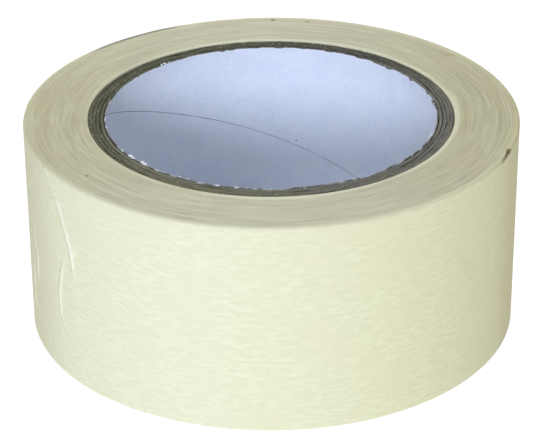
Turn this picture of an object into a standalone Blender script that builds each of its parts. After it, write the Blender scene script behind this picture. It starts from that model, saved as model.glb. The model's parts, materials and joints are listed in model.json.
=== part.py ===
"""A roll of 50 mm masking tape on a spiral-wound paper core.

The roll stands on one wound face, with its axis on +Z and its lowest face at Z = 0. Lengths are in
metres. The core is a white liner and four chipboard plies. Each is one strip wound as a helix, so it is
a tube with a helical butt seam. The tape is one strip: the wound pack, and a free end that peels off it
in eight segments.
"""

import math

import bmesh
import bpy

# The tape and the roll that it makes
TAPE_WIDTH = 0.050
TAPE_THICKNESS = 0.00012
ROLL_RADIUS = 0.057

# The core: a 3 inch bore and its wall
BORE_RADIUS = 0.0381
CORE_WALL = 0.0039
CORE_INSET = 0.0002  # the core stops this far short of each wound face
LINER_THICKNESS = 0.0003
CHIPBOARD_PLIES = 4
GLUE_LINE = 0.00015  # between plies, and between the core and the tape
PLY_THICKNESS = (CORE_WALL - LINER_THICKNESS - CHIPBOARD_PLIES * GLUE_LINE) / CHIPBOARD_PLIES

# The plies' butt seams climb the tube as right-handed helices
SEAM_LEAD = 0.0942
SEAM_GAP = 0.0003
LINER_SEAM_AT_MID_HEIGHT = 86.0  # degrees from +X
SEAM_STAGGER = 137.5  # degrees from one ply's seam to the next

# The free end of the tape, in degrees anticlockwise from +X seen from above
PEEL_ROOT = 95.0
SEGMENTS = 8
SEGMENT_ANGLE = 10.0
FREE_END = PEEL_ROOT + SEGMENTS * SEGMENT_ANGLE
SEGMENT_GAP = 0.0002  # between neighbouring segments
LEAD_GAP = 0.0001  # between the free end and the tape under it
LEAD_INSET = 0.0002  # the free end's long edges stop this far short of the wound faces

# Facets
TAPE_FACET = 2.5  # degrees
CORE_FACETS = 72
SEAM_STEP = 0.002  # height of one step of a seam


def clear_scene():
    for thing in list(bpy.data.objects):
        bpy.data.objects.remove(thing, do_unlink=True)


def make_collection(name, visible=True):
    collection = bpy.data.collections.new(name)
    bpy.context.scene.collection.children.link(collection)
    collection.hide_render = not visible
    return collection


def make_material(name, colour, roughness):
    material = bpy.data.materials.new(name)
    material.use_nodes = True
    shader = material.node_tree.nodes["Principled BSDF"]
    shader.inputs["Base Color"].default_value = (*colour, 1.0)
    shader.inputs["Roughness"].default_value = roughness
    shader.inputs["Metallic"].default_value = 0.0
    material.diffuse_color = (*colour, 1.0)
    return material


def add_object(name, data, collection, material=None):
    thing = bpy.data.objects.new(name, data)
    collection.objects.link(thing)
    if material:
        data.materials.append(material)
    return thing


def polar(radius, degrees):
    angle = math.radians(degrees)
    return radius * math.cos(angle), radius * math.sin(angle)


# ---- Core ----------------------------------------------------------------------------------


def ring_profile(name, inner, outer, low, high):
    """A closed rectangle at +X that runs down its outer side."""
    corners = [(outer, high), (outer, low), (inner, low), (inner, high)]
    mesh = bpy.data.meshes.new(name)
    points = [(radius, 0.0, height) for radius, height in corners]
    mesh.from_pydata(points, [(0, 1), (1, 2), (2, 3), (3, 0)], [])
    return mesh


def add_seam_cutter(name, inner, outer, middle_degrees, collection):
    """A helical ribbon that cuts a slit of SEAM_GAP through the wall from inner to outer."""
    margin = 2 * SEAM_STEP
    rows = round((TAPE_WIDTH + 2 * margin) / SEAM_STEP)
    ribbon = bmesh.new()
    bmesh.ops.create_grid(ribbon, x_segments=1, y_segments=rows, size=0.5)
    for vertex in ribbon.verts:
        radius = inner - 0.001 + (vertex.co.x + 0.5) * (outer - inner + 0.002)
        height = -margin + (vertex.co.y + 0.5) * (TAPE_WIDTH + 2 * margin)
        turn = (height - TAPE_WIDTH / 2) / SEAM_LEAD * 360.0
        x, y = polar(radius, middle_degrees + turn)
        vertex.co = (x, y, height)
    mesh = bpy.data.meshes.new(name)
    ribbon.to_mesh(mesh)
    ribbon.free()
    cutter = add_object(name, mesh, collection)
    cutter.hide_render = True
    cutter.display_type = "WIRE"
    thicken = cutter.modifiers.new("slit_width", "SOLIDIFY")
    thicken.thickness = SEAM_GAP
    thicken.offset = 0.0
    return cutter


def add_ply(name, inner, thickness, seam_degrees, material, parts, cutters):
    outer = inner + thickness
    profile = ring_profile(name, inner, outer, CORE_INSET, TAPE_WIDTH - CORE_INSET)
    ply = add_object(name, profile, parts, material)
    turn = ply.modifiers.new("turn", "SCREW")
    turn.axis = "Z"
    turn.steps = turn.render_steps = CORE_FACETS
    turn.use_merge_vertices = True
    turn.merge_threshold = 0.00001
    turn.use_smooth_shade = True
    seam = ply.modifiers.new("butt_seam", "BOOLEAN")
    seam.operation = "DIFFERENCE"
    seam.solver = "EXACT"
    seam.object = add_seam_cutter(name + "_seam", inner, outer, seam_degrees, cutters)
    return ply


def build_core(parts, cutters):
    white = make_material("white_liner_paper", (0.52, 0.58, 0.68), 0.7)
    grey = make_material("grey_chipboard", (0.10, 0.095, 0.075), 0.9)
    add_ply("core_liner", BORE_RADIUS, LINER_THICKNESS, LINER_SEAM_AT_MID_HEIGHT, white, parts, cutters)
    inner = BORE_RADIUS + LINER_THICKNESS + GLUE_LINE
    for number in range(1, CHIPBOARD_PLIES + 1):
        seam = LINER_SEAM_AT_MID_HEIGHT + number * SEAM_STAGGER
        add_ply(f"core_ply_{number}", inner, PLY_THICKNESS, seam, grey, parts, cutters)
        inner += PLY_THICKNESS + GLUE_LINE


# ---- Tape ----------------------------------------------------------------------------------


def surface_radius(degrees):
    """Outer radius of the roll: it falls by one tape thickness in the turn behind the free end."""
    behind = (FREE_END - degrees) % 360.0
    return ROLL_RADIUS - TAPE_THICKNESS * behind / 360.0


def arc(radius_at, start, end):
    """Points along radius_at(angle) from start to end in degrees, with a corner at each whole facet."""
    first = math.floor(start / TAPE_FACET + 1.001)
    last = math.ceil(end / TAPE_FACET - 1.001)
    angles = [start, *(TAPE_FACET * step for step in range(first, last + 1)), end]
    return [polar(radius_at(angle), angle) for angle in angles]


def extruded_outline(name, outlines, height):
    """A solid with these closed outlines, the first one outside and the others holes."""
    curve = bpy.data.curves.new(name, "CURVE")
    curve.dimensions = "2D"
    curve.fill_mode = "BOTH"
    curve.extrude = height / 2
    for outline in outlines:
        spline = curve.splines.new("POLY")
        spline.points.add(len(outline) - 1)
        for point, (x, y) in zip(spline.points, outline):
            point.co = (x, y, 0.0, 1.0)
        spline.use_cyclic_u = True
    return curve


def pack_outline():
    """One turn of the tape's surface, with the bed that the free end lies in."""

    def bed(degrees):
        return surface_radius(degrees) - TAPE_THICKNESS - LEAD_GAP

    def wound(degrees):
        return surface_radius(min(degrees, PEEL_ROOT + 360.0 - 1e-6))

    under_the_end = arc(bed, PEEL_ROOT, FREE_END - 1e-6)
    round_the_back = arc(wound, FREE_END + 1e-6, PEEL_ROOT + 360.0)
    return under_the_end + round_the_back


def build_pack(parts, tape):
    inner = BORE_RADIUS + CORE_WALL + GLUE_LINE
    bore = arc(lambda degrees: inner, 0.0, 360.0)[:-1]
    outline = extruded_outline("tape_pack", [pack_outline(), bore], TAPE_WIDTH)
    pack = add_object("tape_pack", outline, parts, tape)
    pack.location.z = TAPE_WIDTH / 2


def add_segment(number, parts, tape):
    """One segment of the free end, with its origin on its hinge line at the tape's outer surface."""
    start = PEEL_ROOT + (number - 1) * SEGMENT_ANGLE
    hinge_x, hinge_y = polar(surface_radius(start), start)
    clearance = math.degrees(SEGMENT_GAP / 2 / ROLL_RADIUS)
    begin = start + clearance
    end = start + SEGMENT_ANGLE - clearance
    outside = arc(surface_radius, begin, end)
    inside = arc(lambda degrees: surface_radius(degrees) - TAPE_THICKNESS, begin, end)
    outline = [(x - hinge_x, y - hinge_y) for x, y in outside + inside[::-1]]
    height = TAPE_WIDTH - 2 * LEAD_INSET
    segment = add_object(
        f"tape_end_{number}", extruded_outline(f"tape_end_{number}", [outline], height), parts, tape
    )
    segment.location = (hinge_x, hinge_y, TAPE_WIDTH / 2)


def build_tape(parts):
    tape = make_material("cream_crepe_tape", (0.80, 0.78, 0.58), 0.6)
    build_pack(parts, tape)
    for number in range(1, SEGMENTS + 1):
        add_segment(number, parts, tape)


def main():
    clear_scene()
    parts = make_collection("masking_tape_roll")
    cutters = make_collection("cutters", visible=False)
    build_core(parts, cutters)
    build_tape(parts)


main()
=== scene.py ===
"""Looks of a masking tape roll: creped cream tape on a spiral-wound chipboard core with a white liner.

Lengths are in metres. Azimuths are in degrees, anticlockwise from +X seen from above. The roll stands
on Z = 0.
"""

import json
import math

import bmesh
import bpy
import numpy as np
from mathutils import Matrix, Vector


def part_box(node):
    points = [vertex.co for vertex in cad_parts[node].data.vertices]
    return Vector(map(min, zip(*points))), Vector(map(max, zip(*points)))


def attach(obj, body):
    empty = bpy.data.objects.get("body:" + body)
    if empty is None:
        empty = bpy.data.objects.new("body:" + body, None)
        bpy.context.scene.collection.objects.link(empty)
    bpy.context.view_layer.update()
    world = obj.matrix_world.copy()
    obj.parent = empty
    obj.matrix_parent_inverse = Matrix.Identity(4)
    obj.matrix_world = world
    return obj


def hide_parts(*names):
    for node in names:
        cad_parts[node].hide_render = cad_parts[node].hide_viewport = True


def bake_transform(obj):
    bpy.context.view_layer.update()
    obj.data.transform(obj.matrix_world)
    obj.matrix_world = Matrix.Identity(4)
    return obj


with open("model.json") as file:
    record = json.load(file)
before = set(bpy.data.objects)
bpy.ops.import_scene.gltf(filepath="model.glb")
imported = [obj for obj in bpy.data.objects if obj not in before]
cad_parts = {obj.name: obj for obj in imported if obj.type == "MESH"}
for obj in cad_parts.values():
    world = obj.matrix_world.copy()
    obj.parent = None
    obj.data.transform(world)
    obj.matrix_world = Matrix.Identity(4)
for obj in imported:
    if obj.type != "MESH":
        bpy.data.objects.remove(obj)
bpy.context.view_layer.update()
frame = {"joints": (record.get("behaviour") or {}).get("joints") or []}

# ---- Sizes -----------------------------------------------------------------------------------------

ROLL = "roll"  # the body that carries everything but the free end of the tape
TAPE_THICKNESS = 0.00012
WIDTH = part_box("tape_pack")[1].z

BORE_RADIUS = 0.0381
LINER_THICKNESS = 0.0003
CORE_LOW, CORE_HIGH = (corner.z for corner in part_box("core_ply_1"))
# Inner and outer radius of each chipboard ply. The gaps between them differ a little, as glue lines do.
PLY_RADII = [(0.03852, 0.03926), (0.03945, 0.04024), (0.04030, 0.04111), (0.04116, 0.04200)]
PACK_BORE = 0.04208  # inner radius of the wound tape

HINGES = [Vector(joint["pos_m"]) for joint in frame["joints"]]
PEEL_ROOT = math.degrees(math.atan2(HINGES[0].y, HINGES[0].x))
SEGMENT_ANGLE = math.degrees(HINGES[0].xy.angle(HINGES[1].xy))
FREE_END = PEEL_ROOT + len(HINGES) * SEGMENT_ANGLE
ROLL_RADIUS = HINGES[0].xy.length + TAPE_THICKNESS * (FREE_END - PEEL_ROOT) / 360.0
BED_GAP = 0.00001  # between the free end and the tape under it
END_COLUMN = 0.625  # degrees from one column of the free end's mesh to the next

SEAM_LEAD = 0.0942  # height that a butt seam climbs in one turn
LINER_SEAM = 86.0  # azimuth of the liner's seam at mid height
SEAM_STAGGER = 137.5  # degrees from one ply's seam to the next
LINER_SEAM_GAP = 0.00032
PLY_SEAM_GAP = 0.0004

# The rounded edge of each wound face: how far it goes down the side, and in from the side
SHOULDER_DROP = 0.00032
SHOULDER_RUN = 0.00055


# ---- Numbers ---------------------------------------------------------------------------------------


def smooth_step(values):
    values = np.clip(values, 0.0, 1.0)
    return values * values * (3 - 2 * values)


def lattice_noise(u, v, cells_u, cells_v, seed):
    """Smooth noise from -1 to 1 over the unit square, which repeats at its edges."""
    table = np.random.default_rng(seed).uniform(-1.0, 1.0, (cells_u, cells_v))
    x = np.asarray(u, float) * cells_u
    y = np.asarray(v, float) * cells_v
    i = np.floor(x).astype(int)
    j = np.floor(y).astype(int)
    fx = smooth_step(x - i)
    fy = smooth_step(y - j)
    i, next_i = i % cells_u, (i + 1) % cells_u
    j, next_j = j % cells_v, (j + 1) % cells_v
    low = table[i, j] * (1 - fx) + table[next_i, j] * fx
    high = table[i, next_j] * (1 - fx) + table[next_i, next_j] * fx
    return low * (1 - fy) + high * fy


def rough_noise(u, v, cells_u, cells_v, seed, octaves=3):
    """Layers of smooth noise, each twice as fine and half as strong as the one before."""
    total = 0.0
    for octave in range(octaves):
        scale = 2**octave
        total = total + lattice_noise(u, v, cells_u * scale, cells_v * scale, seed + octave) / scale
    return total / (2 - 2 ** (1 - octaves))


def ring_points(radius, degrees, height):
    """Points at these cylindrical coordinates."""
    angle = np.radians(degrees)
    radius, angle, height = np.broadcast_arrays(radius, angle, height)
    return np.stack([radius * np.cos(angle), radius * np.sin(angle), height], axis=-1)


# ---- Meshes ----------------------------------------------------------------------------------------


def grid_mesh(name, points, close_u=False, close_v=False):
    """A mesh from a grid of points, indexed [u, v]. Its faces look along u cross v."""
    nu, nv = points.shape[:2]
    index = np.arange(nu * nv).reshape(nu, nv)
    if close_u:
        index = np.vstack([index, index[:1]])
    if close_v:
        index = np.hstack([index, index[:, :1]])
    quads = np.stack([index[:-1, :-1], index[1:, :-1], index[1:, 1:], index[:-1, 1:]], axis=-1)
    mesh = bpy.data.meshes.new(name)
    mesh.from_pydata(points.reshape(-1, 3).tolist(), [], quads.reshape(-1, 4).tolist())
    mesh.update()
    return mesh


def set_attribute(mesh, name, values):
    attribute = mesh.attributes.new(name, "FLOAT", "POINT")
    attribute.data.foreach_set("value", np.asarray(values, np.float32).ravel())


def tidy_mesh(mesh, merge=1e-7, cap=False):
    """Joins points that coincide, closes holes if cap is set, and turns all faces outwards."""
    work = bmesh.new()
    work.from_mesh(mesh)
    bmesh.ops.remove_doubles(work, verts=work.verts, dist=merge)
    if cap:
        bmesh.ops.holes_fill(work, edges=[edge for edge in work.edges if edge.is_boundary], sides=0)
    bmesh.ops.recalc_face_normals(work, faces=work.faces)
    work.to_mesh(mesh)
    work.free()


def add_piece(name, mesh, materials, sharp=40.0):
    """An object with smooth faces, and sharp edges where they meet at over this many degrees."""
    piece = bpy.data.objects.new(name, mesh)
    bpy.context.scene.collection.objects.link(piece)
    for material in materials:
        mesh.materials.append(material)
    mesh.shade_smooth()
    mesh.set_sharp_from_angle(angle=math.radians(sharp))
    return piece


# ---- Materials -------------------------------------------------------------------------------------


class Shader:
    """A material's node tree, with a short call for each kind of node."""

    def __init__(self, name, roughness, specular=0.5):
        self.material = bpy.data.materials.new(name)
        self.material.use_nodes = True
        self.tree = self.material.node_tree
        self.surface = self.tree.nodes["Principled BSDF"]
        self.surface.inputs["Roughness"].default_value = roughness
        self.surface.inputs["Metallic"].default_value = 0.0
        self.surface.inputs["Specular IOR Level"].default_value = specular

    def node(self, kind, inputs=(), **settings):
        made = self.tree.nodes.new(kind)
        for key, value in settings.items():
            setattr(made, key, value)
        for key, value in dict(inputs).items():
            if isinstance(value, bpy.types.NodeSocket):
                self.tree.links.new(value, made.inputs[key])
            else:
                made.inputs[key].default_value = value
        return made

    def maths(self, operation, first, second=0.0):
        inputs = {0: first, 1: second}
        return self.node("ShaderNodeMath", inputs, operation=operation).outputs[0]

    def weigh(self, first, first_share, second, second_share):
        """The sum of two values, each times its own share."""
        first = self.maths("MULTIPLY", first, first_share)
        second = self.maths("MULTIPLY", second, second_share)
        return self.maths("ADD", first, second)

    def vector_maths(self, operation, first, second=(0.0, 0.0, 0.0), output="Vector"):
        inputs = {0: first, 1: second}
        return self.node("ShaderNodeVectorMath", inputs, operation=operation).outputs[output]

    def position(self):
        return self.node("ShaderNodeTexCoord").outputs["Object"]

    def attribute(self, name):
        return self.node("ShaderNodeAttribute", attribute_name=name).outputs["Fac"]

    def split(self, vector):
        return self.node("ShaderNodeSeparateXYZ", {0: vector}).outputs

    def join(self, x, y, z):
        return self.node("ShaderNodeCombineXYZ", {0: x, 1: y, 2: z}).outputs[0]

    def noise(self, vector, frequencies, detail=2.0, roughness=0.5, distortion=0.0):
        """Noise with this many cells a metre along each axis of the vector."""
        scaled = self.vector_maths("MULTIPLY", vector, frequencies)
        inputs = {
            "Vector": scaled,
            "Scale": 1.0,
            "Detail": detail,
            "Roughness": roughness,
            "Distortion": distortion,
        }
        return self.node("ShaderNodeTexNoise", inputs).outputs["Fac"]

    def ramp(self, value, low, high, start=0.0, end=1.0):
        """start below low and end above high, with a smooth step between them."""
        inputs = {
            "Value": value,
            "From Min": low,
            "From Max": high,
            "To Min": start,
            "To Max": end,
        }
        made = self.node("ShaderNodeMapRange", inputs, interpolation_type="SMOOTHSTEP")
        return made.outputs["Result"]

    def mix(self, share, first, second):
        """The first colour where share is 0, and the second where it is 1."""
        made = self.node("ShaderNodeMix", data_type="RGBA")
        sockets = (made.inputs[0], made.inputs[6], made.inputs[7])
        for socket, value in zip(sockets, (share, first, second)):
            if isinstance(value, bpy.types.NodeSocket):
                self.tree.links.new(value, socket)
            elif isinstance(value, tuple):
                socket.default_value = (*value, 1.0)
            else:
                socket.default_value = value
        return made.outputs[2]

    def spot(self, position, centre, size):
        """1 inside an ellipsoid round centre with these half sizes, 0 outside, and a wandering edge."""
        offset = self.vector_maths("SUBTRACT", position, centre)
        scaled = self.vector_maths("DIVIDE", offset, size)
        distance = self.vector_maths("LENGTH", scaled, output="Value")
        wobble = self.noise(position, (2200.0, 2200.0, 2200.0), detail=1.0)
        distance = self.maths("ADD", distance, self.maths("MULTIPLY", wobble, 0.5))
        return self.ramp(distance, 0.85, 1.45, 1.0, 0.0)

    def colour(self, value):
        self.tree.links.new(value, self.surface.inputs["Base Color"])

    def roughness(self, value):
        self.tree.links.new(value, self.surface.inputs["Roughness"])

    def bump(self, height, distance):
        inputs = {"Height": height, "Distance": distance, "Strength": 1.0}
        made = self.node("ShaderNodeBump", inputs)
        self.tree.links.new(made.outputs["Normal"], self.surface.inputs["Normal"])


def polar_position(shader, position):
    """(cos, sin, radius) of a point and its radius, so that a pattern runs round with no seam."""
    x, y, _ = shader.split(position)
    flat = shader.join(x, y, 0.0)
    radius = shader.vector_maths("LENGTH", flat, output="Value")
    direction = shader.split(shader.vector_maths("NORMALIZE", flat))
    return shader.join(direction[0], direction[1], radius), radius


# Painted shade on the tape's back by the cosine of the azimuth: bluer towards -X, warmer towards +X, and
# darker and warmer at both limbs. Its two limits, and the tint at each
BACK_SHADE_TINTS = [
    (-0.6, 0.8, (1.0, 1.0, 1.08), (0.985, 0.955, 0.945)),
    (0.86, 1.0, (1.0, 1.0, 1.0), (0.92, 0.89, 0.82)),
    (-0.80, -0.97, (1.0, 1.0, 1.0), (0.90, 0.87, 0.84)),
]

# Marks on the tape: (azimuth, radius, height), half sizes along X, Y and Z, colour and strength
TAPE_MARKS = [
    ((218.1, 0.0511, WIDTH), (0.0004, 0.0003, 0.001), (0.10, 0.10, 0.09), 0.8),
    ((37.4, 0.0541, WIDTH), (0.0016, 0.0012, 0.002), (0.50, 0.40, 0.18), 0.55),
    ((89.5, 0.0553, WIDTH), (0.0007, 0.0007, 0.002), (0.25, 0.18, 0.09), 0.7),
    ((80.5, 0.0549, WIDTH), (0.0006, 0.0005, 0.002), (0.25, 0.18, 0.09), 0.6),
    ((339.5, 0.0564, WIDTH), (0.0006, 0.0005, 0.0006), (0.13, 0.11, 0.04), 0.85),
    ((338.5, 0.0566, WIDTH), (0.0006, 0.0008, 0.0007), (0.12, 0.10, 0.04), 0.95),
    ((337.4, 0.0567, WIDTH), (0.0004, 0.0012, 0.0006), (0.14, 0.12, 0.05), 0.9),
    ((336.1, 0.0568, WIDTH - 0.0002), (0.00033, 0.0012, 0.0006), (0.16, 0.13, 0.06), 0.85),
    ((334.9, 0.0568, WIDTH - 0.0003), (0.0003, 0.0012, 0.0006), (0.22, 0.19, 0.10), 0.8),
    ((333.8, 0.0569, WIDTH - 0.0004), (0.0003, 0.0011, 0.0006), (0.30, 0.27, 0.16), 0.7),
]


def creped_back(s, position, x):
    """The back of the tape: its colour with painted light and shade, its relief, and the streaks of its
    creping.
    """
    strip = s.join(s.attribute("along"), s.split(position)[2], 0.0)
    streaks = s.noise(strip, (330.0, 1300.0, 1.0), detail=3.0, roughness=0.62, distortion=0.5)
    crepe = s.noise(strip, (1700.0, 900.0, 1.0), detail=2.0, roughness=0.6, distortion=0.4)
    clouds = s.noise(strip, (70.0, 90.0, 1.0), detail=3.0)
    back = s.mix(s.ramp(streaks, 0.35, 0.68), (0.675, 0.685, 0.432), (0.741, 0.754, 0.497))
    back = s.mix(s.ramp(clouds, 0.38, 0.64, 0.0, 0.5), back, (0.714, 0.696, 0.448))

    # Painted highlight on the steep side of a crease, and painted shade in the groove behind it
    crease_light = s.attribute("crease_light")
    back = s.mix(s.ramp(crease_light, 0.10, 0.9, 0.0, 0.6), back, (0.82, 0.83, 0.62))
    back = s.mix(s.ramp(crease_light, -0.05, -0.7, 0.0, 0.65), back, (0.48, 0.46, 0.29))

    # Painted shade and colour of the light, by azimuth
    for start, end, before, after in BACK_SHADE_TINTS:
        tint = s.mix(s.ramp(x, start, end), before, after)
        back = s.vector_maths("MULTIPLY", back, tint)
    return back, s.weigh(streaks, 0.75, crepe, 0.6), streaks


def wound_edges(s, ring, radius):
    """The edges of the turns on a wound face: their colour with a painted sheen and painted highlights,
    and their relief.
    """
    x, y, _ = s.split(ring)
    turns = s.noise(ring, (5.0, 5.0, 5200.0), detail=2.0, roughness=0.65)
    lines = s.noise(ring, (3.6, 3.6, 1900.0), detail=2.0, roughness=0.5)
    bands = s.noise(ring, (4.0, 4.0, 900.0), detail=2.0, roughness=0.6)
    patches = s.noise(ring, (3.0, 3.0, 160.0), detail=3.0)
    edges = s.mix(s.ramp(bands, 0.3, 0.7), (0.545, 0.535, 0.362), (0.620, 0.615, 0.428))
    edges = s.mix(s.ramp(turns, 0.45, 0.75, 0.0, 0.50), edges, (0.675, 0.675, 0.485))
    edges = s.mix(s.ramp(turns, 0.36, 0.22, 0.0, 0.5), edges, (0.46, 0.44, 0.28))
    edges = s.mix(s.ramp(patches, 0.45, 0.62, 0.0, 0.45), edges, (0.560, 0.520, 0.360))
    edges = s.mix(s.ramp(lines, 0.44, 0.32, 0.0, 0.5), edges, (0.42, 0.41, 0.30))
    edges = s.mix(s.ramp(lines, 0.56, 0.70, 0.0, 0.5), edges, (0.72, 0.72, 0.56))

    # Painted sheen: lighter and less yellow towards +Y and -Y
    painted_sheen = s.mix(s.maths("MULTIPLY", y, y), (0.925, 0.91, 0.855), (1.04, 1.035, 1.10))
    edges = s.vector_maths("MULTIPLY", edges, painted_sheen)

    # Painted highlight on the turns next to the core, in a band that is wider at +Y and fades out
    # towards -X
    wedge = s.noise(ring, (1.6, 1.6, 300.0), detail=2.0)
    reach = s.maths("SUBTRACT", radius, s.maths("MULTIPLY", wedge, 0.0028))
    reach = s.maths("SUBTRACT", reach, s.ramp(y, 0.2, 0.8, 0.0, 0.0007))
    core_side_highlight = s.ramp(reach, PACK_BORE - 0.0010, PACK_BORE, 0.85, 0.0)
    core_side_highlight = s.maths("MULTIPLY", core_side_highlight, s.ramp(x, -0.95, -0.2, 0.25, 1.0))
    edges = s.mix(core_side_highlight, edges, (0.78, 0.78, 0.60))

    # Painted highlight on the outermost turns towards -Y
    front_rim_highlight = s.ramp(radius, ROLL_RADIUS - 0.0020, ROLL_RADIUS - 0.0005, 0.0, 0.8)
    front_rim_highlight = s.maths("MULTIPLY", front_rim_highlight, s.ramp(y, -0.35, -0.85, 0.1, 1.0))
    edges = s.mix(front_rim_highlight, edges, (0.80, 0.80, 0.60))
    return edges, s.weigh(turns, 2.4, bands, 4.0)


def rim_shade(s, ring, radius, height):
    """Strength of the dark arc on the upper face's rim, between +Y and -X."""
    x, y, _ = s.split(ring)
    turned = s.ramp(s.maths("SUBTRACT", y, s.maths("MULTIPLY", x, 0.75)), 1.205, 1.235)
    outermost = s.ramp(radius, ROLL_RADIUS - 0.0014, ROLL_RADIUS - 0.0009, 0.0, 0.8)
    on_top = s.ramp(height, WIDTH - 0.0006, WIDTH - 0.0003)
    return s.maths("MULTIPLY", s.maths("MULTIPLY", turned, outermost), on_top)


def tape_material():
    """Creped tape: its back, and the edges of its turns where the attribute "face" is 1."""
    s = Shader("creped_tape", 0.65, specular=0.22)
    position = s.position()
    ring, radius = polar_position(s, position)
    back, back_relief, streaks = creped_back(s, position, s.split(ring)[0])
    edges, edge_relief = wound_edges(s, ring, radius)
    face = s.attribute("face")
    colour = s.mix(face, back, edges)
    dark = rim_shade(s, ring, radius, s.split(position)[2])
    colour = s.mix(dark, colour, (0.20, 0.20, 0.16))
    for (degrees, distance, height), size, dirt, strength in TAPE_MARKS:
        centre = tuple(ring_points(distance, degrees, height).tolist())
        share = s.maths("MULTIPLY", s.spot(position, centre, size), strength)
        colour = s.mix(share, colour, dirt)
    s.colour(colour)
    inputs = {0: face, 2: back_relief, 3: edge_relief}
    s.bump(s.node("ShaderNodeMix", inputs, data_type="FLOAT").outputs[0], 0.00005)
    s.roughness(s.ramp(streaks, 0.2, 0.8, 0.60, 0.72))
    return s.material


def adhesive_material():
    """The adhesive side of the tape, glossier than its back."""
    s = Shader("tape_adhesive", 0.32)
    position = s.join(s.attribute("along"), s.split(s.position())[2], 0.0)
    blotches = s.noise(position, (180.0, 300.0, 1.0), detail=3.0)
    crepe = s.noise(position, (2600.0, 420.0, 1.0), detail=2.0)
    s.colour(s.mix(s.ramp(blotches, 0.3, 0.7), (0.70, 0.68, 0.44), (0.78, 0.76, 0.53)))
    s.bump(crepe, 0.00004)
    s.roughness(s.ramp(blotches, 0.3, 0.7, 0.24, 0.42))
    return s.material


def chipboard_material():
    """Cut grey board: fibres, layers and specks, and painted shade in the gaps between the layers."""
    s = Shader("grey_chipboard", 0.95, specular=0.25)
    position = s.position()
    ring, radius = polar_position(s, position)
    fibres = s.noise(position, (3500.0, 3500.0, 3500.0), detail=3.0, roughness=0.7)
    layers = s.noise(ring, (7.0, 7.0, 4500.0), detail=2.0)
    stain = s.noise(ring, (3.0, 3.0, 500.0), detail=2.0)
    specks = s.noise(position, (1900.0, 1900.0, 1900.0), detail=1.0, roughness=0.4)
    colour = s.mix(s.ramp(fibres, 0.3, 0.75), (0.048, 0.048, 0.035), (0.162, 0.162, 0.133))
    colour = s.mix(s.ramp(layers, 0.52, 0.72, 0.0, 0.5), colour, (0.235, 0.235, 0.215))
    colour = s.mix(s.ramp(stain, 0.55, 0.7, 0.0, 0.4), colour, (0.080, 0.070, 0.052))

    # Torn and paler towards +X and -Y
    x, y, _ = s.split(position)
    torn = s.noise(ring, (2.5, 2.5, 900.0), detail=3.0)
    toward = s.maths("SUBTRACT", s.maths("MULTIPLY", x, 0.6), y)
    toward = s.maths("ADD", toward, s.maths("MULTIPLY", torn, 0.02))
    colour = s.mix(s.ramp(toward, -0.01, 0.035, 0.0, 0.55), colour, (0.232, 0.224, 0.192))
    ply_edge = PLY_RADII[0][1]
    inner_ply = s.ramp(radius, ply_edge - 0.0001, ply_edge + 0.00015, 0.75, 0.0)
    inner_ply = s.maths("MULTIPLY", inner_ply, s.ramp(toward, -0.022, 0.012))
    colour = s.mix(s.ramp(specks, 0.63, 0.74, 0.0, 0.6), colour, (0.40, 0.39, 0.36))
    colour = s.mix(inner_ply, colour, (0.225, 0.215, 0.190))

    # Painted shade in the gaps between the layers
    shaded_gaps = s.noise(ring, (4.0, 4.0, 2600.0), detail=1.0)
    colour = s.mix(s.ramp(shaded_gaps, 0.56, 0.66, 0.0, 0.6), colour, (0.024, 0.022, 0.016))
    # Lighter and yellower towards -X
    left_warm_tint = s.mix(s.ramp(x, -0.01, 0.02), (1.08, 1.10, 0.88), (1.0, 1.0, 1.0))
    s.colour(s.vector_maths("MULTIPLY", colour, left_warm_tint))
    s.bump(s.maths("ADD", fibres, layers), 0.00012)
    return s.material


def liner_material():
    """White paper, which is grey and torn where the attribute "cut_edge" is 1."""
    s = Shader("white_liner", 0.75, specular=0.25)
    position = s.position()
    clouds = s.noise(position, (190.0, 190.0, 190.0), detail=4.0, roughness=0.6)
    fine = s.noise(position, (1500.0, 1500.0, 1500.0), detail=3.0)
    colour = s.mix(s.ramp(clouds, 0.3, 0.7), (0.755, 0.812, 0.885), (0.815, 0.862, 0.915))
    colour = s.mix(s.ramp(fine, 0.36, 0.64, 0.0, 0.6), colour, (0.88, 0.905, 0.935))

    # Shaded towards -X and downwards
    x, _, z = s.split(position)
    rise = s.maths("MULTIPLY", s.maths("SUBTRACT", z, 0.03), 1.3)
    across = s.maths("ADD", x, rise)
    shade = s.mix(s.ramp(across, -0.052, -0.005), (0.83, 0.84, 0.885), (0.965, 0.965, 0.98))
    colour = s.vector_maths("MULTIPLY", colour, shade)

    # A speck on the wall of the bore
    centre = tuple(ring_points(BORE_RADIUS, 80.8, 0.0249).tolist())
    speck = s.spot(position, centre, (0.00034, 0.00034, 0.00026))
    colour = s.mix(s.maths("MULTIPLY", speck, 0.75), colour, (0.20, 0.22, 0.27))

    ring, _ = polar_position(s, position)
    torn = s.noise(ring, (14.0, 14.0, 400.0), detail=3.0)
    white = s.ramp(torn, 0.52, 0.64)
    grey = s.mix(white, (0.15, 0.145, 0.12), (0.50, 0.50, 0.49))
    colour = s.mix(s.ramp(s.attribute("cut_edge"), 0.35, 0.8, 0.0, 0.92), colour, grey)
    s.colour(colour)
    s.bump(s.weigh(clouds, 0.6, fine, 0.35), 0.0001)
    return s.material


# ---- Tape ------------------------------------------------------------------------------------------


def surface_radius(degrees):
    """Outer radius of the roll, which falls by one tape thickness in the turn behind the free end."""
    behind = np.mod(FREE_END - degrees - 1e-7, 360.0)
    return ROLL_RADIUS - TAPE_THICKNESS * behind / 360.0


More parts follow.
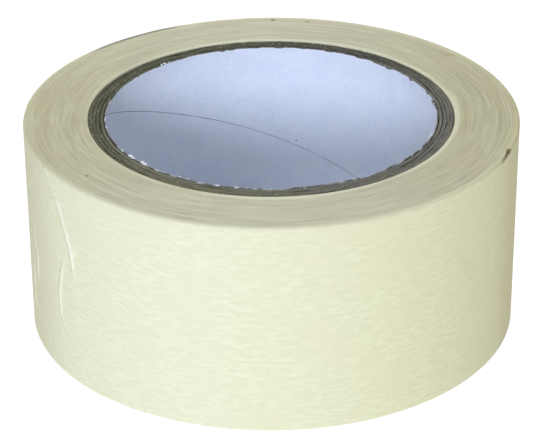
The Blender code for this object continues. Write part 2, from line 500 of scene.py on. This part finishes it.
# Creases in the outer turn: (azimuth, height) along the crest, height of the crest, its width on the
# steep side, and the width of the swell behind it
CREASES = [
    (
        [
            (208.6, 0.0500), (211.5, 0.0468), (214.5, 0.0437),
            (217.4, 0.0375), (219.1, 0.0332), (220.2, 0.0240),
        ],
        0.00042, 0.00060, 0.0060,
    ),
    (
        [
            (217.2, 0.0330), (214.6, 0.0262), (213.4, 0.0205),
            (213.4, 0.0154), (215.8, 0.0113), (221.5, 0.0080),
        ],
        0.00027, 0.00052, 0.0040,
    ),
    ([(195.4, 0.0370), (200.9, 0.0235), (199.6, 0.0160), (199.0, 0.0133)], 0.00030, 0.00060, 0.0025),
    ([(197.2, 0.0270), (196.0, 0.0090), (198.6, 0.0025)], 0.00026, 0.00060, 0.0020),
    ([(238.5, 0.0205), (243.0, 0.0221), (246.5, 0.0237), (252.4, 0.0262)], 0.00012, 0.00070, 0.0015),
    ([(228.0, 0.0290), (233.0, 0.0300), (239.0, 0.0330)], 0.00011, 0.00070, 0.0012),
    ([(236.0, 0.0120), (241.0, 0.0150), (247.0, 0.0165)], 0.00011, 0.00070, 0.0012),
    ([(274.5, 0.0402), (278.3, 0.0410), (283.0, 0.0425)], 0.00011, 0.00070, 0.0012),
    ([(301.0, 0.0330), (306.0, 0.0290), (310.0, 0.0240)], 0.00016, 0.00090, 0.0022),
    ([(312.0, 0.0380), (317.0, 0.0310), (320.0, 0.0240)], 0.00016, 0.00090, 0.0022),
    ([(322.0, 0.0210), (327.0, 0.0140), (330.0, 0.0080)], 0.00015, 0.00090, 0.0022),
    ([(20.0, 0.0440), (27.0, 0.0330), (31.0, 0.0180)], 0.00012, 0.00050, 0.0030),
    ([(52.0, 0.0080), (58.0, 0.0170), (69.0, 0.0220)], 0.00010, 0.00050, 0.0030),
    ([(121.0, 0.0500), (118.0, 0.0390), (119.5, 0.0300)], 0.00010, 0.00050, 0.0030),
]


def crease(degrees, height, crest, tall, steep, swell):
    """A crease with one steep side, towards higher azimuths, and a groove and a broad swell behind it.
    """
    sense = -1.0 if crest[0][1] > crest[-1][1] else 1.0
    lift = 0.0
    for (a0, z0), (a1, z1) in zip(crest[:-1], crest[1:]):
        arc = np.radians(degrees - a0) * ROLL_RADIUS
        run = math.radians(a1 - a0) * ROLL_RADIUS
        rise = z1 - z0
        length = math.hypot(run, rise)
        along = np.clip((arc * run + (height - z0) * rise) / length**2, 0.0, 1.0)
        off = np.hypot(arc - along * run, height - z0 - along * rise)
        side = np.sign(arc * rise - (height - z0) * run) * sense
        front = np.exp(-((off / steep) ** 2))
        groove = 0.30 * np.exp(-(((off - steep * 1.4) / (steep * 0.7)) ** 2))
        behind = 0.62 * front + 0.38 * np.exp(-((off / swell) ** 2)) - groove
        lift = np.maximum(lift, np.where(side > 0, front, behind))
    fade = 1.0
    for a, z in (crest[0], crest[-1]):
        if 0.001 < z < WIDTH - 0.001:
            away = np.hypot(np.radians(degrees - a) * ROLL_RADIUS, height - z)
            fade = fade * smooth_step(away / 0.009)
    return tall * lift * fade


def creases(degrees, height):
    degrees, height = np.broadcast_arrays(np.mod(degrees, 360.0), height)
    lift = np.zeros(degrees.shape)
    for crest, tall, steep, swell in CREASES:
        lift += crease(degrees, height, crest, tall, steep, swell)
    return lift


def crease_lighting(degrees, height):
    """1 on the steep side of a crease, where a highlight is painted, and -1 in the groove behind, where
    shade is painted.
    """
    step = 0.3
    fall = creases(degrees - step, height) - creases(degrees + step, height)
    slope = fall / (2 * math.radians(step) * ROLL_RADIUS)
    return np.clip(slope * 2.2, -1.0, 1.0)


def skin(degrees, height):
    """How far the outer turn stands off its spiral: broad slack places, creases and fine creping."""
    u = degrees / 360.0
    v = height / WIDTH
    slack = 0.00005 * (rough_noise(u, v * 0.5, 18, 4, 11) - 1.0)
    creping = 0.000008 * rough_noise(u, v * 0.5, 90, 60, 23, 2)
    return slack + creping + creases(degrees, height)


def side_profile(rows):
    """Rows up the side of the roll: how far each lies inside the outer radius, and its height."""
    arc = np.radians(np.linspace(0.0, 90.0, 7))[1:]
    heights = np.linspace(SHOULDER_DROP, WIDTH - SHOULDER_DROP, rows)
    inset = [SHOULDER_RUN * (1 - math.cos(a)) for a in arc]
    drop = [SHOULDER_DROP * (1 - math.sin(a)) for a in arc]
    low = list(zip(inset[::-1], drop[::-1]))
    high = [(run, WIDTH - fall) for run, fall in zip(inset, drop)]
    return np.array([*low, *((0.0, z) for z in heights), *high])


SIDE = side_profile(58)
EDGE_ROWS = 3  # rows of each shoulder that lie past the edge of the outermost turn

TOP_ROWS = 42
LOW_ROWS = 34
BORE_CORNER = 0.0002  # the wound faces turn into the bore this far from its wall
SETTLE = 0.05  # share of a wound face over which its relief fades in from the shoulder


def face_relief(degrees, radius, seed):
    """Depth of a wound face below its highest turns."""
    u = degrees / 360.0
    v = (radius - PACK_BORE) / (ROLL_RADIUS - PACK_BORE) * 0.98
    groups = rough_noise(u, v, 5, 9, seed, 3)
    turns = lattice_noise(u, v, 7, 40, seed + 9)
    waves = rough_noise(u, v * 0.5, 9, 2, seed + 20, 2)
    lip = smooth_step((PACK_BORE + 0.0012 - radius) / 0.0012)
    relief = 0.00012 + 0.00003 * groups + 0.000025 * turns + 0.00004 * waves
    return relief * (1 - lip) + 0.00002 * lip


def pack_columns():
    """Azimuths of the wound tape's columns, which are close together across the deepest creases."""
    return np.concatenate([
        np.arange(PEEL_ROOT, FREE_END, 1.0),
        [FREE_END, FREE_END + 0.001],
        np.arange(FREE_END + 1.0, 190.0, 1.0),
        np.arange(190.0, 226.0, 0.25),
        np.arange(226.0, PEEL_ROOT + 360.0, 0.71),
        [PEEL_ROOT + 359.999, PEEL_ROOT + 360.0],
    ])


def build_pack(materials):
    """The wound tape as one loft round the axis. It starts in the bed of the free end."""
    columns = pack_columns()
    in_bed = (columns <= FREE_END) | (columns == PEEL_ROOT + 360.0)
    azimuth = columns[:, None]
    outer = surface_radius(azimuth) - np.where(in_bed[:, None], TAPE_THICKNESS + BED_GAP, 0.0)

    inset, height = SIDE[:, 0], SIDE[:, 1][None, :]
    fade = 1.0 - inset / SHOULDER_RUN
    side = ring_points(outer - inset + fade * skin(azimuth, height), azimuth, height)

    start = ROLL_RADIUS - TAPE_THICKNESS - SHOULDER_RUN
    share = np.linspace(0.0, 1.0, TOP_ROWS)[1:]
    radii = (start + (PACK_BORE + BORE_CORNER - start) * share)[None, :]
    settle = smooth_step(share / SETTLE)[None, :]
    top = ring_points(radii, azimuth, WIDTH - settle * face_relief(azimuth, radii, 5))
    lip_top = ring_points(PACK_BORE, azimuth, np.array([[WIDTH - 0.0001, WIDTH - 0.0012]]))
    lip_low = ring_points(PACK_BORE, azimuth, np.array([[0.0012, 0.0001]]))
    share = np.linspace(0.0, 1.0, LOW_ROWS)[:-1]
    radii = (PACK_BORE + BORE_CORNER + (start - PACK_BORE - BORE_CORNER) * share)[None, :]
    settle = smooth_step((1 - share) / SETTLE)[None, :]
    low = ring_points(radii, azimuth, settle * face_relief(azimuth, radii, 47))

    points = np.concatenate([side, top, lip_top, lip_low, low], axis=1)
    mesh = grid_mesh("wound_tape", points, close_v=True)
    set_attribute(mesh, "along", np.radians(azimuth) * ROLL_RADIUS + 0 * points[..., 0])

    # 0 on the back of the tape, 1 on its cut edges, and between them on the rounded rim and in a painted
    # highlight on the face next to the rim
    rows = len(SIDE)
    face = np.ones(points.shape[:2])
    face[:, :rows] = smooth_step((inset / SHOULDER_RUN - 0.05) / 0.6)[None, :] * 0.5
    from_rim = ROLL_RADIUS - np.hypot(points[..., 0], points[..., 1])
    rim_light_share = smooth_step((from_rim - 0.0004) / 0.0018) * 0.5 + 0.5
    face[:, rows:] = rim_light_share[:, rows:]
    face[:, rows + top.shape[1] : -low.shape[1]] = 0.0
    set_attribute(mesh, "face", face)
    crease_light = np.zeros(points.shape[:2])
    crease_light[:, :rows] = fade * crease_lighting(azimuth, height)
    set_attribute(mesh, "crease_light", crease_light)
    tidy_mesh(mesh)
    piece = add_piece("wound_tape", mesh, materials)
    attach(piece, ROLL)
    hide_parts("tape_pack")


def build_end(materials):
    """The free end of the tape: one thin sheet for each hinge."""
    rows = SIDE[EDGE_ROWS:-EDGE_ROWS]
    inset, height = rows[:, 0], rows[:, 1][None, :]
    fade = 1.0 - inset / SHOULDER_RUN
    count = len(rows)
    per_segment = round(SEGMENT_ANGLE / END_COLUMN)
    for number, hinge in enumerate(HINGES, start=1):
        first = PEEL_ROOT + (number - 1) * SEGMENT_ANGLE
        azimuth = first + END_COLUMN * np.arange(per_segment + 1)[:, None]
        azimuth = azimuth + 0 * height
        if number == len(HINGES):
            ragged = rough_noise(rows[:, 1] / WIDTH * 0.5, 0.3, 40, 3, 71) * 0.22
            azimuth[-1] += ragged - 0.25
        spiral = surface_radius(np.minimum(azimuth, FREE_END - 1e-4))
        radius = spiral - inset + fade * skin(azimuth, height)
        outside = ring_points(radius, azimuth, height)
        inside = ring_points(radius - TAPE_THICKNESS, azimuth, height)
        points = np.concatenate([outside, inside[:, ::-1]], axis=1)
        name = f"tape_end_sheet_{number}"
        mesh = grid_mesh(name, points, close_v=True)
        along = np.radians(azimuth + 360.0) * ROLL_RADIUS
        set_attribute(mesh, "along", np.concatenate([along, along[:, ::-1]], axis=1))
        set_attribute(mesh, "face", np.zeros(points.shape[:2]))
        crease_light = fade * crease_lighting(azimuth, height)
        set_attribute(mesh, "crease_light", np.concatenate([crease_light, crease_light[:, ::-1]], axis=1))
        place = np.arange(len(mesh.polygons)) % (2 * count)
        adhesive = (place >= count) & (place < 2 * count - 1)
        mesh.polygons.foreach_set("material_index", adhesive.astype(np.int32))
        tidy_mesh(mesh, cap=True)
        piece = add_piece(name, mesh, materials)
        if number < len(HINGES):
            end = HINGES[number]
        else:
            end = Vector(ring_points(ROLL_RADIUS, first + SEGMENT_ANGLE, WIDTH / 2))
        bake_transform(piece)
        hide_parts(f"tape_end_{number}")


# ---- Core ------------------------------------------------------------------------------------------


def seam_azimuth(at_middle, height):
    """Azimuth of a butt seam at this height."""
    return at_middle + (height - WIDTH / 2) / SEAM_LEAD * 360.0


def seam_cutter(inner, outer, at_middle, gap):
    """A helical bar as wide as the gap, to cut through a ply from inner to outer."""
    height = np.arange(-0.004, WIDTH + 0.0041, 0.001)[:, None]
    radius = np.array([[inner - 0.0004, outer + 0.0004, outer + 0.0004, inner - 0.0004]])
    side = np.array([[-0.5, -0.5, 0.5, 0.5]])
    azimuth = seam_azimuth(at_middle, height) + np.degrees(side * gap / inner)
    mesh = grid_mesh("seam_cutter", ring_points(radius, azimuth, height), close_v=True)
    tidy_mesh(mesh, cap=True)
    cutter = bpy.data.objects.new("seam_cutter", mesh)
    bpy.context.scene.collection.objects.link(cutter)
    return cutter


def cut_seam(piece, cutter):
    """Cuts the cutter out of the piece's mesh, and removes it."""
    cut = piece.modifiers.new("seam", "BOOLEAN")
    cut.operation = "DIFFERENCE"
    cut.solver = "EXACT"
    cut.object = cutter
    graph = bpy.context.evaluated_depsgraph_get()
    mesh = bpy.data.meshes.new_from_object(piece.evaluated_get(graph), depsgraph=graph)
    piece.modifiers.clear()
    piece.data = mesh
    bpy.data.objects.remove(cutter)


def build_plies(material):
    """The chipboard plies, with rough cut edges. The first one has a rounder edge than the others."""
    azimuth = np.arange(0.0, 360.0, 0.5)[:, None]
    u = azimuth / 360.0
    across = np.linspace(0.0, 1.0, 8)
    for number, (inner, outer) in enumerate(PLY_RADII, start=1):
        round_off = (0.00010 if number == 1 else 0.00007) * (np.abs(2 * across - 1) ** 4)
        radii = (inner + (outer - inner) * across)[None, :]
        seed = 100 + number * 10
        rough = rough_noise(u, across[None, :] * 0.9, 170, 3, seed, 2)
        wander = rough_noise(u, 0.5, 14, 3, seed + 5, 3)
        chips = np.maximum(rough_noise(u, across[None, :] * 0.6, 70, 2, seed + 6, 2) - 0.35, 0.0)
        drop = round_off[None, :] + 0.00009 * rough + 0.00008 * wander + 0.0006 * chips
        shift = 0.00004 * rough_noise(u, 0.2, 60, 3, seed + 7, 2) + 0.00003 * wander
        top = ring_points(radii + shift, azimuth, CORE_HIGH - drop)[:, ::-1]
        rough = rough_noise(u, across[None, :] * 0.9, 170, 3, seed + 3, 2)
        low = ring_points(radii, azimuth, CORE_LOW + 0.00008 + round_off[None, :] + 0.00005 * rough)
        wall_out = ring_points(outer, azimuth, np.array([[0.002, WIDTH - 0.002]]))
        wall_in = ring_points(inner, azimuth, np.array([[WIDTH - 0.002, 0.002]]))
        points = np.concatenate([wall_out, top, wall_in, low], axis=1)
        mesh = grid_mesh(f"chipboard_ply_{number}", points, close_u=True, close_v=True)
        piece = add_piece(f"chipboard_ply_{number}", mesh, [material], sharp=60.0)
        middle = LINER_SEAM + number * SEAM_STAGGER
        cut_seam(piece, seam_cutter(inner, outer, middle, PLY_SEAM_GAP))
        piece.data.set_sharp_from_angle(angle=math.radians(60.0))
        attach(piece, ROLL)
        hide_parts(f"core_ply_{number}")


def build_liner(material):
    """The white ply. Its columns follow the helical butt seam, which stays open."""
    top_edge = WIDTH - 0.00012
    rows = np.append(np.linspace(CORE_LOW + 0.0004, top_edge - 0.00008, 66), top_edge)
    columns = np.linspace(0.0, 1.0, 561)[:, None]

    def azimuth_at(height, column):
        half_gap = math.degrees(LINER_SEAM_GAP / 2 / BORE_RADIUS)
        wander = 0.12 * rough_noise(height / WIDTH * 0.5, 0.4, 12, 3, 301)
        start = seam_azimuth(LINER_SEAM, height) + half_gap + wander
        return start + column * (360.0 - 2 * half_gap)

    def wall(heights, thickness_share):
        azimuth = azimuth_at(heights[None, :], columns)
        u = azimuth / 360.0
        v = heights[None, :] / WIDTH * 0.5
        dents = 0.000012 * rough_noise(u, v, 16, 6, 310)
        from_seam = np.minimum(columns, 1 - columns) * 2 * math.pi * BORE_RADIUS
        curl = 0.00004 * np.exp(-((from_seam / 0.0008) ** 2))
        top = smooth_step((heights[None, :] - top_edge + 0.002) / 0.002)
        lean = top * 0.00016 * (0.4 + 1.2 * rough_noise(u, 0.3 + 0 * v, 24, 3, 320))
        wall_radius = BORE_RADIUS + LINER_THICKNESS * 0.85 * thickness_share
        radius = wall_radius + dents - curl - np.maximum(lean, 0)
        torn = np.minimum(rough_noise(u, 0.6 + 0 * v, 110, 3, 330, 3) + 0.1, 0.06)
        worst = smooth_step((np.cos(np.radians(azimuth + 25.0)) + 0.1) / 0.7)
        fray = torn * (0.0005 + 0.0009 * worst) * top
        return ring_points(radius, azimuth, heights[None, :] + fray)

    points = np.concatenate([wall(rows[::-1], 0.0), wall(rows, 1.0)], axis=1)
    mesh = grid_mesh("paper_liner", points, close_v=True)
    cut_edge = np.zeros(points.shape[:2])
    cut_edge[:, 0] = 1.0
    cut_edge[:, len(rows) :] = 1.0
    set_attribute(mesh, "cut_edge", cut_edge)
    tidy_mesh(mesh, cap=True)
    piece = add_piece("paper_liner", mesh, [material])
    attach(piece, ROLL)
    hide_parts("core_liner")


# Torn paper left by the cut: azimuth, size, and how far it leans into the bore
BURR_FLAKES = 7  # flakes at each place below
BURRS = [
    (131.6, 0.0010, -0.6),
    (160.5, 0.0006, 0.3),
    (177.9, 0.0006, 0.4),
    (184.6, 0.0008, 0.3),
    (191.0, 0.0007, 0.4),
    (215.4, 0.0009, 0.8),
    (221.4, 0.0011, 0.9),
    (227.0, 0.0006, 0.6),
    (240.3, 0.0009, 0.7),
    (256.6, 0.0006, 0.6),
    (270.0, 0.0005, 0.3),
    (280.0, 0.0005, 0.3),
    (342.0, 0.0011, 0.6),
    (13.0, 0.0007, 0.2),
]

# More small flakes: lowest and highest azimuth, and how many
LOOSE_FLAKES = [(205.0, 262.0, 110), (-30.0, 30.0, 26), (30.0, 150.0, 14)]


def burr(middle, size, lean, rng):
    """A small curled flake of paper that stands on the liner's edge: (points, quads)."""
    length, width, thick = size, size * 0.7, 0.00006
    nu, nv = 6, 4
    t, w = np.meshgrid(np.linspace(0, 1, nu), np.linspace(-0.5, 0.5, nv), indexing="ij")
    taper = 1.0 - 0.6 * t**2 + rng.normal(0, 0.08, t.shape)
    bend = lean * 1.2 * t
    inward = length * t * np.sin(bend) + rng.normal(0, 0.00003, t.shape)
    up = length * t * np.cos(bend) * 0.5
    azimuth = middle + np.degrees(width * w * taper / BORE_RADIUS) + t * rng.normal(0, 0.6)
    radius = BORE_RADIUS + 0.00012 - inward
    height = np.minimum(CORE_HIGH - 0.00012 + up, WIDTH - 0.00002 - 0.00003 * t)
    front = ring_points(radius, azimuth, height)
    back = ring_points(radius + thick, azimuth, height)
    points = np.concatenate([front, back[:, ::-1]], axis=1)
    index = np.arange(nu * 2 * nv).reshape(nu, 2 * nv)
    loop = np.hstack([index, index[:, :1]])
    quads = np.stack([loop[:-1, :-1], loop[1:, :-1], loop[1:, 1:], loop[:-1, 1:]], axis=-1)
    caps = []
    for row in (index[0], index[-1]):
        caps += [[row[c], row[c + 1], row[-c - 2], row[-c - 1]] for c in range(nv - 1)]
    return points.reshape(-1, 3), np.vstack([quads.reshape(-1, 4), np.array(caps)])


def build_burrs(material):
    """All the flakes of torn paper, as one piece."""
    rng = np.random.default_rng(7)
    flakes = []
    for middle, size, lean in BURRS:
        for _ in range(BURR_FLAKES):
            azimuth = middle + rng.normal(0, 1.1)
            flakes.append(burr(azimuth, size * rng.uniform(0.4, 1.0), lean, rng))
    loose = [rng.uniform(low, high, count) for low, high, count in LOOSE_FLAKES]
    for middle in np.concatenate(loose):
        size = rng.uniform(0.00020, 0.00062)
        flakes.append(burr(middle, size, rng.uniform(0.0, 0.9), rng))
    points, faces = [], []
    for flake, quads in flakes:
        faces += (quads + len(points)).tolist()
        points += flake.tolist()
    mesh = bpy.data.meshes.new("torn_paper")
    mesh.from_pydata(points, [], faces)
    tidy_mesh(mesh, merge=1e-9)
    piece = add_piece("torn_paper", mesh, [material])
    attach(piece, ROLL)



# ---- Stage -----------------------------------------------------------------------------------------

# Lights: name, place, power in watts and colour
LIGHTS = [
    ("key", (-0.27, -1.28, 0.37), 10.6, (0.90, 0.97, 1.22)),
    ("top", (-0.12, 0.44, 1.15), 7.0, (1.0, 0.99, 0.94)),
    ("back", (-0.30, 1.20, 0.40), 3.0, (1.0, 0.99, 0.95)),
]
LIGHT_SIZE = 0.40
SKY_STRENGTH = 0.24
FLOOR_HALF_SIZE = 3.0

CAMERA_PLACE = Vector((0.001070, -0.491461, 0.279748))
CAMERA_TARGET = Vector((0.001070, 0.0, 0.021339))
CAMERA_TILT = -0.2846  # degrees about its own axis
CAMERA_LENS = 153.5  # millimetres


def add_light(name, place, power, colour):
    """A round light that faces the middle of the roll."""
    data = bpy.data.lights.new(name, "AREA")
    data.shape = "DISK"
    data.size = LIGHT_SIZE
    data.energy = power
    data.color = colour
    light = bpy.data.objects.new(name, data)
    bpy.context.scene.collection.objects.link(light)
    light.location = place
    toward = Vector((0.0, 0.0, WIDTH / 2)) - Vector(place)
    light.rotation_euler = toward.to_track_quat("-Z", "Y").to_euler()


def floor_paint():
    """White outside the bore, and dimmer and bluer inside it, where it gets lighter towards +X."""
    paint = Shader("pale_floor", 0.9)
    x, y, _ = paint.split(paint.position())
    radius = paint.vector_maths("LENGTH", paint.join(x, y, 0.0), output="Value")
    outside = paint.ramp(radius, 0.045, 0.055)
    shade = paint.mix(paint.ramp(x, -0.03, 0.03), (0.30, 0.34, 0.42), (0.66, 0.71, 0.82))
    paint.colour(paint.mix(outside, shade, (0.02, 0.02, 0.02)))
    light = paint.mix(outside, (0.88, 0.97, 1.20), (1.05, 1.05, 1.05))
    paint.tree.links.new(light, paint.surface.inputs["Emission Color"])
    inputs = {0: outside, 2: paint.ramp(x, -0.02, 0.035, 0.0, 0.56), 3: 1.0}
    strength = paint.node("ShaderNodeMix", inputs, data_type="FLOAT")
    paint.tree.links.new(strength.outputs[0], paint.surface.inputs["Emission Strength"])
    return paint.material


def build_floor():
    floor = bpy.data.meshes.new("floor")
    work = bmesh.new()
    bmesh.ops.create_grid(work, x_segments=8, y_segments=8, size=FLOOR_HALF_SIZE)
    work.to_mesh(floor)
    work.free()
    stage = bpy.data.objects.new("floor", floor)
    bpy.context.scene.collection.objects.link(stage)
    floor.materials.append(floor_paint())


def build_world():
    """A plain white backdrop, which lights the roll less than it shows."""
    world = bpy.data.worlds.new("studio")
    bpy.context.scene.world = world
    world.use_nodes = True
    nodes, links = world.node_tree.nodes, world.node_tree.links
    sky = nodes["Background"]
    sky.inputs["Color"].default_value = (0.98, 0.99, 1.0, 1.0)
    sky.inputs["Strength"].default_value = SKY_STRENGTH
    seen = nodes.new("ShaderNodeBackground")
    seen.inputs["Strength"].default_value = 1.0
    seen.inputs["Color"].default_value = (1.0, 1.0, 1.0, 1.0)
    path = nodes.new("ShaderNodeLightPath")
    mix = nodes.new("ShaderNodeMixShader")
    links.new(path.outputs["Is Camera Ray"], mix.inputs[0])
    links.new(sky.outputs[0], mix.inputs[1])
    links.new(seen.outputs[0], mix.inputs[2])
    links.new(mix.outputs[0], nodes["World Output"].inputs["Surface"])

def build_stage():
    build_floor()
    build_world()
    for light in LIGHTS:
        add_light(*light)
    bpy.context.scene.view_settings.view_transform = "Standard"


def build_camera():
    """The view: about 28 degrees above the horizontal and 0.56 m away."""
    data = bpy.data.cameras.new("camera")
    data.sensor_width = 36.0
    data.lens = CAMERA_LENS
    data.clip_start = 0.01
    camera = bpy.data.objects.new("camera", data)
    bpy.context.scene.collection.objects.link(camera)
    aim = (CAMERA_TARGET - CAMERA_PLACE).to_track_quat("-Z", "Y").to_matrix()
    turn = aim @ Matrix.Rotation(math.radians(CAMERA_TILT), 3, "Z")
    camera.matrix_world = Matrix.Translation(CAMERA_PLACE) @ turn.to_4x4()
    bpy.context.scene.camera = camera


def main():
    build_camera()
    tape = tape_material()
    adhesive = adhesive_material()
    build_pack([tape])
    build_end([tape, adhesive])
    build_plies(chipboard_material())
    liner = liner_material()
    build_liner(liner)
    build_burrs(liner)
    build_stage()


main()
